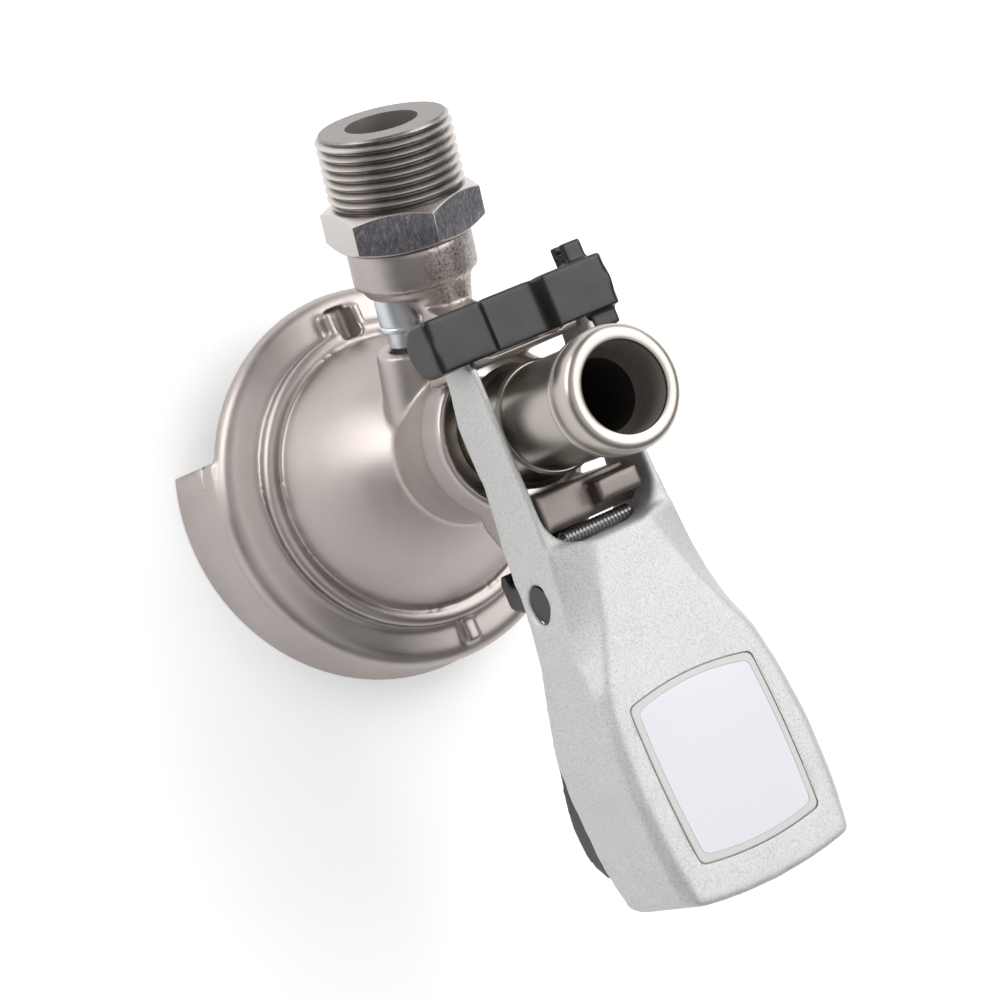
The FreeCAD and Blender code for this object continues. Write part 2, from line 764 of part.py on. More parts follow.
def lever_window():
    """Opening between the arms, with rounded corners at its end."""
    round_x = window_end_x - window_corner_r
    straight = block(-60, round_x, -window_half_width, window_half_width, 40, 130)
    middle = block(-60, window_end_x, -window_half_width + window_corner_r,
                   window_half_width - window_corner_r, 40, 130)
    space = straight.fuse(middle)
    for side in (-1, 1):
        y = side * (window_half_width - window_corner_r)
        space = space.fuse(cylinder(window_corner_r, 40, 130, round_x, y))
    return space


def lever_cavity():
    """Space under the hood for the trigger."""
    wires = []
    for x in (cavity_start_x, 38.0, 50.0, 59.0, 70.0, 83.0, cavity_end_x):
        width = lever_width(x) - lever_wall
        shoulder = min(width - 3.0, 5.0 + 0.4 * (x - window_end_x))
        low = 82.6 + max(0.0, min(4.6, 0.25 * (x - 43)))
        high = hood_z(x) - hood_wall
        corners = [(-width, 50), (-width, low), (-shoulder, high), (shoulder, high), (width, low), (width, 50)]
        wires.append(Part.makePolygon([Vector(x, y, z) for y, z in corners + [corners[0]]]))
    return Part.makeLoft(wires, True, True)


def rounded_upright(solid, radius):
    """Rounds a solid's upright edges."""
    upright = [edge for edge in solid.Edges
               if len(edge.Vertexes) == 2 and abs(edge.tangentAt(edge.FirstParameter).z) > 0.99]
    return solid.makeFillet(radius, upright)


def badge_outline(margin, height):
    """Badge on the XY plane: straight sides, slightly bowed ends and rounded corners."""
    x0 = badge_x_start + badge_bow + margin
    x1 = badge_x_end - badge_bow - margin
    y = badge_half_width - margin
    corners = [Vector(x0, -y, 0), Vector(x1, -y, 0), Vector(x1, y, 0), Vector(x0, y, 0)]
    edges = [
        Part.LineSegment(corners[0], corners[1]).toShape(),
        Part.Arc(corners[1], Vector(x1 + badge_bow, 0, 0), corners[2]).toShape(),
        Part.LineSegment(corners[2], corners[3]).toShape(),
        Part.Arc(corners[3], Vector(x0 - badge_bow, 0, 0), corners[0]).toShape(),
    ]
    solid = Part.Face(Part.Wire(edges)).extrude(Vector(0, 0, height))
    return rounded_upright(solid, badge_corner_r - margin)


def on_hood(shape, depth):
    """Lays a shape from the XY plane onto the hood's sloping top, sunk by a depth."""
    shape = shape.copy()
    shape.rotate(Vector(0, 0, 0), Y_AXIS, -math.degrees(math.atan(hood_slope)))
    shape.translate(Vector(0, 0, hood_z_at_origin - depth))
    return shape


def lever_end_rounding():
    """Upright block whose bowed and rounded end shapes the lever's end."""
    x_corner = lever_end_x - lever_end_bow
    corners = [Vector(-SPAN, -lever_end_half_width, 0), Vector(x_corner, -lever_end_half_width, 0),
               Vector(x_corner, lever_end_half_width, 0), Vector(-SPAN, lever_end_half_width, 0)]
    edges = [
        Part.LineSegment(corners[0], corners[1]).toShape(),
        Part.Arc(corners[1], Vector(lever_end_x, 0, 0), corners[2]).toShape(),
        Part.LineSegment(corners[2], corners[3]).toShape(),
        Part.LineSegment(corners[3], corners[0]).toShape(),
    ]
    solid = Part.Face(Part.Wire(edges)).extrude(Vector(0, 0, SPAN))
    end_edges = [edge for edge in solid.Edges
                 if edge.BoundBox.ZLength > SPAN / 2 and edge.BoundBox.XMin > x_corner - 1]
    return solid.makeFillet(lever_end_corner_r, end_edges)


def handle_casting():
    """The lever: two arms, window, hood and grip in one casting."""
    outer = lever_outer().fuse(lever_deck())
    solid = outer.common(lever_side_profile()).common(lever_end_rounding())
    recess = on_hood(badge_outline(0.0, 10.0), badge_recess)
    spring_seat = cylinder_y(trigger_spring_r + trigger_spring_wire_r + FREE, trigger_spring_x, trigger_spring_z,
                             trigger_spring_y_start - FREE, trigger_spring_y_end + FREE)
    solid = solid.cut(lever_window()).cut(lever_cavity()).cut(recess).cut(spring_seat)
    boss = cylinder_y(drive_boss_r, 0, drive_pin_z, probe_collar_r + FREE, arm_inner_y + 0.5)
    for piece in mirrored_pair(boss):
        solid = solid.fuse(piece)
    pin_hole_end = arm_outer_y - 1.0
    solid = solid.cut(cylinder_y(drive_pin_r, 0, drive_pin_z, -pin_hole_end, pin_hole_end))
    solid = solid.cut(cylinder_y(hinge_pin_r + RUNNING, hinge_x, hinge_z, -SPAN, SPAN))
    solid = solid.cut(cylinder_y(trigger_hole_r, trigger_pin_x, trigger_pin_z, -SPAN, SPAN))
    return solid.removeSplitter()


def badge_plate():
    """Plain badge in the hood's recess."""
    return on_hood(badge_outline(badge_gap, badge_thickness), badge_recess)


def hinge_clip():
    """Plastic clip over the lever's hinge: a dipped band, two side plates, a slotted tab and a leg."""
    top = clip_top_z
    under = top - clip_thickness
    skirt_z = under - clip_side_depth
    dip = clip_dip_half_width
    bevel = clip_edge_bevel
    ramp_end = block_gap_y - FREE
    band = front_prism([
        (-clip_y_near, skirt_z), (-clip_y_near, top - bevel), (-clip_y_near + bevel, top),
        (-dip - clip_dip_ramp, top), (-dip, top - clip_dip), (dip, top - clip_dip), (dip + clip_dip_ramp, top),
        (clip_y_far - bevel, top), (clip_y_far, top - bevel), (clip_y_far, skirt_z),
        (arm_outer_y, skirt_z), (arm_outer_y, under), (ramp_end, under),
        (dip - 0.7, under - clip_dip), (-dip + 0.7, under - clip_dip), (-ramp_end, under),
        (-arm_outer_y, under), (-arm_outer_y, skirt_z)], clip_x_back, clip_x_front)
    side_top = hinge_z + 2.0
    solid = band
    for y_from, y_to in ((-clip_y_near, -arm_outer_y), (arm_outer_y, clip_y_far)):
        solid = solid.fuse(cylinder_y(clip_side_r, hinge_x, hinge_z, y_from, y_to))
        solid = solid.fuse(block(clip_x_back, clip_x_front, y_from, y_to, hinge_z, side_top))
    tab_end = clip_y_far - clip_end_inset
    tab = block(clip_tab_x, hinge_x, clip_tab_y, tab_end, clip_tab_z_bottom, clip_tab_z_top)
    slot_z = (clip_tab_z_bottom + clip_tab_z_top - clip_slot_height) / 2
    slot = block(clip_tab_x - 1, clip_tab_x + clip_slot_depth, 0, SPAN, slot_z, slot_z + clip_slot_height)
    leg = block(hinge_x, clip_leg_x, arm_outer_y + clip_end_inset, tab_end, clip_leg_z_bottom, clip_leg_z_top)
    return solid.fuse(tab.cut(slot)).fuse(leg).removeSplitter()


def drive_pins():
    """Steel pins in the lever's bosses that lift and press the probe."""
    pin = cylinder_y(drive_pin_r, 0, drive_pin_z, drive_pin_y_in, arm_outer_y - 1.0)
    return Part.makeCompound(mirrored_pair(pin))


def trigger_pin():
    """Pin through the lever that the trigger turns on."""
    half = lever_width(trigger_pin_x) - 0.6
    return cylinder_y(trigger_pin_r, trigger_pin_x, trigger_pin_z, -half, half)


def trigger_spring():
    """Torsion spring at the end of the window."""
    length = trigger_spring_y_end - trigger_spring_y_start
    spring = coil_sleeve(trigger_spring_r, trigger_spring_wire_r, length)
    spring.rotate(Vector(0, 0, 0), X_AXIS, -90)
    spring.translate(Vector(trigger_spring_x, trigger_spring_y_start, trigger_spring_z))
    return spring


def trigger():
    """Finger trigger: a tray in the grip, an eye on its pin and a hooked leg at the front."""
    side_outline = [
        (37.0, 75.0), (40.0, 69.2), (48.5, 67.0), (59.0, 64.3), (66.0, 62.4), (73.0, 60.6), (78.0, 60.8),
        (81.5, 62.0), (84.0, 65.0), (84.4, 68.0), (83.0, 74.0), (60.0, 76.5), (40.0, 78.0),
    ]
    wires = []
    for x in (36.0, 50.0, 59.0, 70.0, 80.0, 86.0):
        width = lever_width(x) - lever_wall - 2 * FREE
        corners = [(-width, 55), (-width, 85), (width, 85), (width, 55)]
        wires.append(Part.makePolygon([Vector(x, y, z) for y, z in corners + [corners[0]]]))
    tray = side_prism(side_outline, -30, 30).common(Part.makeLoft(wires, True, True))
    inner_outline = [
        (41.0, 90.0), (41.0, 72.0), (49.0, 67.0 + trigger_floor), (59.0, 64.3 + trigger_floor),
        (66.0, 62.4 + trigger_floor), (73.0, 60.6 + trigger_floor), (78.0, 61.0 + trigger_floor),
        (82.0, 66.0), (82.0, 90.0),
    ]
    inner_half = lever_width(43) - lever_wall - 2 * FREE - trigger_wall
    tray = tray.cut(side_prism(inner_outline, -inner_half, inner_half))
    leg = side_prism([
        (27.3, trigger_pin_z), (27.3, 59.6), (24.7, 59.2), (24.7, 57.6), (26.0, 56.5), (31.0, 56.5),
        (32.0, 58.0), (33.5, 66.0), (41.0, 69.5), (41.5, 77.8), (31.4, 80.5)],
        -trigger_leg_half_width, trigger_leg_half_width)
    eye = cylinder_y(trigger_eye_r, trigger_pin_x, trigger_pin_z, -trigger_leg_half_width,
                     trigger_leg_half_width)
    solid = tray.fuse(leg).fuse(eye)
    hole = cylinder_y(trigger_pin_r + RUNNING, trigger_pin_x, trigger_pin_z, -SPAN, SPAN)
    return solid.cut(hole).removeSplitter()


NODES = [
    coupler_body, keg_seal, neck_seal, gland_ring, hinge_pins,
    gas_nipple, nipple_washer, gas_check_seat, gas_check_ball, gas_check_spring,
    relief_valve_housing, relief_valve_poppet, relief_valve_seal, relief_valve_spring,
    probe_tube, probe_collar, probe_tip_seal, ball_retainer, product_check_ball,
    handle_casting, badge_plate, hinge_clip, drive_pins, trigger_pin, trigger_spring, trigger,
]

os.makedirs("parts", exist_ok=True)
for make_node in NODES:
    shape = make_node()
    print(make_node.__name__, len(shape.Solids), round(shape.Volume, 1), shape.isValid())
    shape.exportStep("parts/" + make_node.__name__ + ".step")
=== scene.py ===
"""Keg coupler on a white studio floor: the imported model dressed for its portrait."""
import math

import bmesh
import bpy
from mathutils import Matrix, Vector


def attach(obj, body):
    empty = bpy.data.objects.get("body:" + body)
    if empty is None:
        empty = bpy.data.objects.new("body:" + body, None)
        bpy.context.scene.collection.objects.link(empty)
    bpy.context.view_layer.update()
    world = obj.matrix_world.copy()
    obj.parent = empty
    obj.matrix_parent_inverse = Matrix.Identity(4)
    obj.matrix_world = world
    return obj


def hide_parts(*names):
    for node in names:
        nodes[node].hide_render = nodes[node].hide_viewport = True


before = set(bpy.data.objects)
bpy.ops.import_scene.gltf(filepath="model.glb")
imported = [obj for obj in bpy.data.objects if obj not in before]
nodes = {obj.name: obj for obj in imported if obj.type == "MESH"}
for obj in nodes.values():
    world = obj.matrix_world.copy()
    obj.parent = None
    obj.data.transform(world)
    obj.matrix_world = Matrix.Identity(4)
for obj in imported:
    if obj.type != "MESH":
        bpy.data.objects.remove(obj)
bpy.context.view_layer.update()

scene = bpy.context.scene
MM = 0.001

# Camera: a long lens above the gas side, turned so that the coupler lies across the picture.
# It stands where the round outlines of the real one fall as they do in the photograph.
EYE = Vector((-8.6, -310.2, 645.7)) * MM
LOOK_BACK = Vector((-0.030, -0.461, 0.887)).normalized()
ACROSS = Vector((0.387, 0.813, 0.435))
LENS = 126.0
SENSOR = 36.0
NEAREST = 0.01

right = (ACROSS - LOOK_BACK * ACROSS.dot(LOOK_BACK)).normalized()
up = LOOK_BACK.cross(right)
camera_data = bpy.data.cameras.new("camera")
camera_data.lens = LENS
camera_data.sensor_width = SENSOR
camera_data.clip_start = NEAREST
camera = bpy.data.objects.new("camera", camera_data)
scene.collection.objects.link(camera)
turn = Matrix((right, up, LOOK_BACK)).transposed()
camera.matrix_world = Matrix.Translation(EYE) @ turn.to_4x4()
scene.camera = camera
scene.view_settings.view_transform = "Standard"


# Studio: a pale paper floor under the coupler and three soft boxes round it. The room above is
# dim and darkest a third of the way up, which gives the metal its dark streaks.
FLOOR_SIZE = 4.0
FLOOR_DROP = 0.0003
FLOOR_PAPER = "f2f2f2"
FLOOR_GLOW = 0.34
ROOM_BANDS = ((0.0, "c8c8c8"), (0.12, "a2a2a4"), (0.35, "78787b"), (0.62, "989899"),
              (0.85, "dcdcdc"), (1.0, "e8e8e8"))
LAMP_AIM = Vector((0.01, 0.0, 0.06))
# Each box is a name, a place in metres, a width, a height and a power in watts.
SOFT_BOXES = (("box_left", (-0.70, -0.70, 0.22), 0.8, 0.5, 4.5),
              ("box_back", (-0.55, 0.60, 0.75), 0.8, 0.9, 5.0),
              ("box_top", (0.0, 0.50, 1.0), 0.8, 0.8, 3.6))


def linear(text):
    """An sRGB hex colour as linear red, green, blue and alpha."""
    channels = [int(text[index:index + 2], 16) / 255 for index in (0, 2, 4)]
    return [c / 12.92 if c <= 0.04045 else ((c + 0.055) / 1.055) ** 2.4 for c in channels] + [1.0]


def add_node(tree, kind, settings=(), inputs=(), links=(), stops=()):
    """Adds a node with settings, input values, links (input, node, output) and colour stops."""
    node = tree.nodes.new(kind)
    for key, value in dict(settings).items():
        setattr(node, key, value)
    for key, value in dict(inputs).items():
        node.inputs[key].default_value = value
    for key, source, output in links:
        tree.links.new(source.outputs[output], node.inputs[key])
    if stops:
        while len(node.color_ramp.elements) < len(stops):
            node.color_ramp.elements.new(1.0)
        for element, (position, colour) in zip(node.color_ramp.elements, stops):
            element.position = position
            element.color = linear(colour)
    return node


def new_material(name):
    """An empty node material, its tree and the tree's output node."""
    material = bpy.data.materials.new(name)
    material.use_nodes = True
    material.node_tree.nodes.clear()
    output = material.node_tree.nodes.new("ShaderNodeOutputMaterial")
    return material, material.node_tree, output


def dress(obj, *materials):
    """Gives a piece its materials, the first one on all faces that ask for no other."""
    if obj.data.materials:
        obj.data.materials.clear()
    for material in materials:
        obj.data.materials.append(material)


def object_from(name, bm):
    """Makes an object of a finished bmesh and frees the bmesh."""
    mesh = bpy.data.meshes.new(name)
    bm.to_mesh(mesh)
    bm.free()
    obj = bpy.data.objects.new(name, mesh)
    scene.collection.objects.link(obj)
    return obj


floor_material, tree, output = new_material("floor_paper")
path = add_node(tree, "ShaderNodeLightPath")
seen = add_node(tree, "ShaderNodeMath", {"operation": "MAXIMUM"},
                links=[(0, path, "Is Camera Ray"), (1, path, "Is Glossy Ray")])
seen = add_node(tree, "ShaderNodeMath", {"operation": "MAXIMUM"},
                links=[(0, seen, 0), (1, path, "Is Transmission Ray")])
glow = add_node(tree, "ShaderNodeMath", {"operation": "MULTIPLY"}, {1: FLOOR_GLOW}, [(0, seen, 0)])
paper = add_node(tree, "ShaderNodeBsdfPrincipled", (),
                 {"Base Color": linear(FLOOR_PAPER), "Roughness": 0.9, "Emission Color": (1, 1, 1, 1)},
                 [("Emission Strength", glow, 0)])
tree.links.new(paper.outputs[0], output.inputs[0])
bm = bmesh.new()
bmesh.ops.create_grid(bm, x_segments=1, y_segments=1, size=FLOOR_SIZE / 2)
bmesh.ops.translate(bm, verts=bm.verts, vec=(0, 0, -FLOOR_DROP))
floor = object_from("floor", bm)
dress(floor, floor_material)

world = bpy.data.worlds.new("studio")
scene.world = world
world.use_nodes = True
tree = world.node_tree
tree.nodes.clear()
output = tree.nodes.new("ShaderNodeOutputWorld")
direction = add_node(tree, "ShaderNodeTexCoord")
height = add_node(tree, "ShaderNodeSeparateXYZ", links=[("Vector", direction, "Generated")])
room = add_node(tree, "ShaderNodeValToRGB", links=[("Fac", height, "Z")], stops=ROOM_BANDS)
air = add_node(tree, "ShaderNodeBackground", (), {"Strength": 1.0}, [("Color", room, "Color")])
tree.links.new(air.outputs[0], output.inputs[0])

for name, place, width, height, power in SOFT_BOXES:
    lamp_data = bpy.data.lights.new(name, "AREA")
    lamp_data.shape = "RECTANGLE"
    lamp_data.size = width
    lamp_data.size_y = height
    lamp_data.energy = power
    lamp = bpy.data.objects.new(name, lamp_data)
    scene.collection.objects.link(lamp)
    lamp.location = place
    lamp.rotation_euler = (Vector(place) - LAMP_AIM).to_track_quat("Z", "Y").to_euler()


# Body: forged brass, blasted and nickel-plated, so it shines softly and a little warm, and a fine
# orange-peel breaks up the highlights. The skirt is machined; all above it keeps the soft edges of
# the forging. A plated collar on the gas arm's bulb meets the nipple's hexagon.
BLAST_GRAIN = 0.35
SPECKLE_GRAIN = 1.6 * BLAST_GRAIN
CLOUD_SIZE = 14.0
PLATE_TONES = ((0.3, "aaa29e"), (0.75, "bdb5b1"))
# Darker tones for the painted shade round the latch block.
LATCH_SHADE_TONES = ((0.3, "6e6763"), (0.75, "857e79"))
PITTED_TONES = ((0.36, "5c5854"), (0.47, "aca39f"), (0.62, "c4bbb6"))
BULB = (-33.8, 5.5, 63.5)
BULB_REACH = 11.0
BULB_CORE = 0.75
# Centre, reach and core of the painted shade that darkens the plate round the latch block.
LATCH_BLOCK = (17.0, 2.0, 76.0)
LATCH_SHADE_REACH = 15.0
LATCH_SHADE_CORE = 0.8
SKIRT_JOINT_Z = 8.4
BODY_VOXEL = 0.45
BODY_PASSES = 10
BODY_SHARE = 0.52
GAS_FACE = Vector((-63.0, 0.0, 63.8)) * MM
GAS_TILT = 20.5
GAS_TURN = -math.radians(90 - GAS_TILT)
GAS_PLACE = Matrix.Translation(GAS_FACE) @ Matrix.Rotation(GAS_TURN, 4, "Y")
COLLAR_R = 12.15
COLLAR_BORE_R = 9.8
COLLAR_START = 22.5
COLLAR_END = 30.5
COLLAR_EDGE = 0.5
ROUND_STEPS = 144
SMALL_ROUND_STEPS = 96
MERGE_GAP = 1e-6
CAD_MERGE_GAP = 0.002 * MM
PLANE_GAP = 1e-7
TURNED_EDGE = 0.35
SHADED_EDGE = math.radians(30)


def satin_nickel():
    """Warm satin plate with cloudy gloss, pitted at the bulb and painted darker round the latch block, a
    painted shade.
    """
    material, tree, output = new_material("satin_nickel_plate")
    where = add_node(tree, "ShaderNodeTexCoord")
    place = [("Vector", where, "Object")]
    clouds = add_node(tree, "ShaderNodeTexNoise", (),
                      {"Scale": 1 / (CLOUD_SIZE * MM), "Detail": 4.0}, place)
    grain = add_node(tree, "ShaderNodeTexNoise", (),
                     {"Scale": 1 / (BLAST_GRAIN * MM), "Detail": 4.0}, place)
    speckle = add_node(tree, "ShaderNodeTexNoise", (),
                       {"Scale": 1 / (SPECKLE_GRAIN * MM), "Detail": 5.0, "Roughness": 0.7}, place)
    masks = []
    for centre, reach, core in ((BULB, BULB_REACH, BULB_CORE), (LATCH_BLOCK, LATCH_SHADE_REACH, LATCH_SHADE_CORE)):
        offset = add_node(tree, "ShaderNodeVectorMath", {"operation": "DISTANCE"},
                          {1: [value * MM for value in centre]}, [(0, where, "Object")])
        mask = add_node(tree, "ShaderNodeMapRange", (),
                        {"From Min": reach * MM, "From Max": core * reach * MM},
                        [("Value", offset, "Value")])
        masks.append(mask)
    at_bulb, latch_shade = masks
    plate = add_node(tree, "ShaderNodeValToRGB", links=[("Fac", clouds, "Fac")], stops=PLATE_TONES)
    latch_shade_tone = add_node(tree, "ShaderNodeValToRGB", links=[("Fac", clouds, "Fac")], stops=LATCH_SHADE_TONES)
    pits = add_node(tree, "ShaderNodeValToRGB", links=[("Fac", speckle, "Fac")], stops=PITTED_TONES)
    # Painted shade: near the latch block the plate turns to the darker tones.
    shade = add_node(tree, "ShaderNodeMix", {"data_type": "RGBA"}, (),
                     [("Factor", latch_shade, "Result"), (6, plate, "Color"), (7, latch_shade_tone, "Color")])
    tone = add_node(tree, "ShaderNodeMix", {"data_type": "RGBA"}, (),
                    [("Factor", at_bulb, "Result"), (6, shade, 2), (7, pits, "Color")])
    shine = add_node(tree, "ShaderNodeMapRange", (),
                     {"From Min": 0.3, "From Max": 0.7, "To Min": 0.34, "To Max": 0.46},
                     [("Value", clouds, "Fac")])
    relief = add_node(tree, "ShaderNodeMix", {"data_type": "FLOAT"}, (),
                      [(0, at_bulb, "Result"), (2, grain, "Fac"), (3, speckle, "Fac")])
    bump = add_node(tree, "ShaderNodeBump", (), {"Strength": 0.22, "Distance": 0.05 * MM},
                    [("Height", relief, 0)])
    metal = add_node(tree, "ShaderNodeBsdfPrincipled", (), {"Metallic": 1.0},
                     [("Base Color", tone, 2), ("Roughness", shine, "Result"),
                      ("Normal", bump, "Normal")])
    tree.links.new(metal.outputs[0], output.inputs[0])
    return material


def merged(node):
    """A CAD piece's form with its loose triangles joined."""
    bm = bmesh.new()
    bm.from_mesh(nodes[node].data)
    bmesh.ops.remove_doubles(bm, verts=bm.verts, dist=CAD_MERGE_GAP)
    return bm


def add_form(bm, other):
    """Adds another bmesh to a bmesh and frees it."""
    mesh = bpy.data.meshes.new("added")
    other.to_mesh(mesh)
    other.free()
    bm.from_mesh(mesh)
    bpy.data.meshes.remove(mesh)


def bake(obj):
    """Applies a piece's modifiers to its mesh."""
    depsgraph = bpy.context.evaluated_depsgraph_get()
    mesh = bpy.data.meshes.new_from_object(obj.evaluated_get(depsgraph))
    mesh.name = obj.name
    obj.modifiers.clear()
    obj.data = mesh


def softened(node, name, voxel, passes, share=1.0, extra=None):
    """A soft-edged copy of a CAD piece thinned to a share of its faces, with more metal joined on."""
    bm = merged(node)
    if extra:
        add_form(bm, extra)
    obj = object_from(name, bm)
    remesh = obj.modifiers.new("remesh", "REMESH")
    remesh.mode = "VOXEL"
    remesh.voxel_size = voxel * MM
    smooth = obj.modifiers.new("smooth", "SMOOTH")
    smooth.factor = 0.5
    smooth.iterations = passes
    if share < 1.0:
        thin = obj.modifiers.new("thin", "DECIMATE")
        thin.ratio = share
    bake(obj)
    return obj


def keep_side(bm, height, keep_above):
    """Cuts a closed form at a height, keeps one side and closes the cut round its hole."""
    side = {"clear_inner": True} if keep_above else {"clear_outer": True}
    everything = bm.verts[:] + bm.edges[:] + bm.faces[:]
    bmesh.ops.bisect_plane(bm, geom=everything, dist=PLANE_GAP, plane_co=(0, 0, height * MM),
                           plane_no=(0, 0, 1), **side)
    rim = [edge for edge in bm.edges if edge.is_boundary]
    facing = (0, 0, -1) if keep_above else (0, 0, 1)
    bmesh.ops.triangle_fill(bm, use_beauty=True, edges=rim, normal=facing)
    bmesh.ops.recalc_face_normals(bm, faces=bm.faces)


def settle(obj, body, slot, *stands_for):
    """Shades a finished piece, ties it to its body and lets it stand for its CAD nodes."""
    obj.data.polygons.foreach_set("use_smooth", [True] * len(obj.data.polygons))
    obj.data.set_sharp_from_angle(angle=SHADED_EDGE)
    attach(obj, body)
    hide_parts(*stands_for)


def turned(profile, segments, soften=0.0):
    """Spins a closed outline of (radius, height) points about Z and softens its corners."""
    bm = bmesh.new()
    corners = [bm.verts.new((radius * MM, 0, height * MM)) for radius, height in profile]
    edges = [bm.edges.new(pair) for pair in zip(corners, corners[1:] + corners[:1])]
    bmesh.ops.spin(bm, geom=corners + edges, cent=(0, 0, 0), axis=(0, 0, 1), dvec=(0, 0, 0),
                   angle=2 * math.pi, steps=segments, use_merge=True)
    bmesh.ops.remove_doubles(bm, verts=bm.verts, dist=MERGE_GAP)
    bmesh.ops.recalc_face_normals(bm, faces=bm.faces)
    if soften:
        sharp = [edge for edge in bm.edges if edge.is_manifold and edge.calc_face_angle() > TURNED_EDGE]
        bmesh.ops.bevel(bm, geom=sharp, offset=soften * MM, segments=2, profile=0.5, affect="EDGES",
                        clamp_overlap=True, material=-1)
    return bm


collar = turned([(COLLAR_BORE_R, -COLLAR_START), (COLLAR_R - COLLAR_EDGE, -COLLAR_START),
                 (COLLAR_R, -COLLAR_START - COLLAR_EDGE), (COLLAR_R, -COLLAR_END),
                 (COLLAR_BORE_R, -COLLAR_END)], SMALL_ROUND_STEPS)
bmesh.ops.transform(collar, verts=collar.verts, matrix=GAS_PLACE)
forging = softened("coupler_body", "forging", BODY_VOXEL, BODY_PASSES, BODY_SHARE, collar)
upper = bmesh.new()
upper.from_mesh(forging.data)
bpy.data.objects.remove(forging)
keep_side(upper, SKIRT_JOINT_Z, True)
bm = merged("coupler_body")
keep_side(bm, SKIRT_JOINT_Z, False)
add_form(bm, upper)
casting = object_from("body_casting", bm)
dress(casting, satin_nickel())
settle(casting, "body", "body_nickel", "coupler_body")


# Gas inlet nipple: turned from hexagon brass bar with its thread cut on the lathe, and plated.
# Handling has rubbed the thread's crests bright and scratched the hexagon's dark flats. The flat
# that catches the light from the left is given the light plate without scratches, a painted
# highlight. The bore and the face are fresh from the tool.
PITCH = 1.814
THREAD_TURNS = 10
THREAD_STEPS = 72
CREST_R = 13.22
ROOT_R = 12.17
TOOTH = ((CREST_R, 0.0), (CREST_R, -0.30), (ROOT_R, -0.85), (ROOT_R, -1.15), (CREST_R, -PITCH))
THREAD_END = 14.2
THREAD_CHAMFER = 1.05
THREAD_RUNOUT = 0.9
HEX_START = 14.4
HEX_LENGTH = 8.0
HEX_END = HEX_START + HEX_LENGTH
HEX_FLAT_R = 27.0 / 2
HEX_CORNER_R = 27.0 / math.sqrt(3)
HEX_CHAMFER_DROP = (HEX_CORNER_R - HEX_FLAT_R) * math.tan(math.radians(30))
HEX_CHAMFER_IN = 0.3
HEX_EDGE = 0.12
HEX_TURN = -7.5
# Facing of the one flat given the light plate as a painted highlight.
LIT_FLAT = Vector((-0.131, -0.991))
BORE_R = 7.07
CHAMBER_R = 7.5
SPIGOT_R = 9.6
SPIGOT_END = 29.5
GROOVE_R = 12.1
RUBBED_R = 13.2
WORN_TONES = ((0.28, "736e6b"), (1.05, "c6c0bb"))
SCRATCH_TONES = ((0.45, "66656a"), (0.57, "86848a"), (0.67, "c2beba"))
SCRATCH_WAYS = ((0.5, 2.5), (-0.8, 3.5))
PLATED, SCRATCHED, MACHINED = 0, 1, 2


def combine(obj, tool, operation):
    """Joins, cuts or trims a piece with another closed form, which is then removed."""
    step = obj.modifiers.new("combine", "BOOLEAN")
    step.operation = operation
    step.solver = "EXACT"
    step.object = tool
    bake(obj)
    bpy.data.objects.remove(tool)


def thread_blank():
    """A closed rod whose skin is a helix of one thread tooth, longer than the thread itself."""
    bm = bmesh.new()
    corners = [bm.verts.new((radius * MM, 0, (height + PITCH) * MM)) for radius, height in TOOTH]
    edges = [bm.edges.new(pair) for pair in zip(corners, corners[1:])]
    bmesh.ops.spin(bm, geom=corners + edges, cent=(0, 0, 0), axis=(0, 0, 1),
                   dvec=(0, 0, -PITCH * MM / THREAD_STEPS), angle=2 * math.pi * THREAD_TURNS,
                   steps=THREAD_STEPS * THREAD_TURNS)
    bmesh.ops.remove_doubles(bm, verts=bm.verts, dist=MERGE_GAP)
    rim = [edge for edge in bm.edges if edge.is_boundary]
    bmesh.ops.holes_fill(bm, edges=rim, sides=0)
    bmesh.ops.triangulate(bm, faces=bm.faces)
    bmesh.ops.recalc_face_normals(bm, faces=bm.faces)
    return bm


def plain_finish(name, colour, metallic, roughness, grain, relief):
    """One colour with a fine grain in its relief and gloss, both sized in millimetres."""
    material, tree, output = new_material(name)
    where = add_node(tree, "ShaderNodeTexCoord")
    noise = add_node(tree, "ShaderNodeTexNoise", (), {"Scale": 1 / (grain * MM), "Detail": 3.0},
                     [("Vector", where, "Object")])
    shine = add_node(tree, "ShaderNodeMapRange", (),
                     {"To Min": roughness * 0.75, "To Max": roughness * 1.25},
                     [("Value", noise, "Fac")])
    bump = add_node(tree, "ShaderNodeBump", (), {"Strength": 0.3, "Distance": relief * MM},
                    [("Height", noise, "Fac")])
    skin = add_node(tree, "ShaderNodeBsdfPrincipled", (),
                    {"Metallic": metallic, "Base Color": linear(colour)},
                    [("Roughness", shine, "Result"), ("Normal", bump, "Normal")])
    tree.links.new(skin.outputs[0], output.inputs[0])
    return material


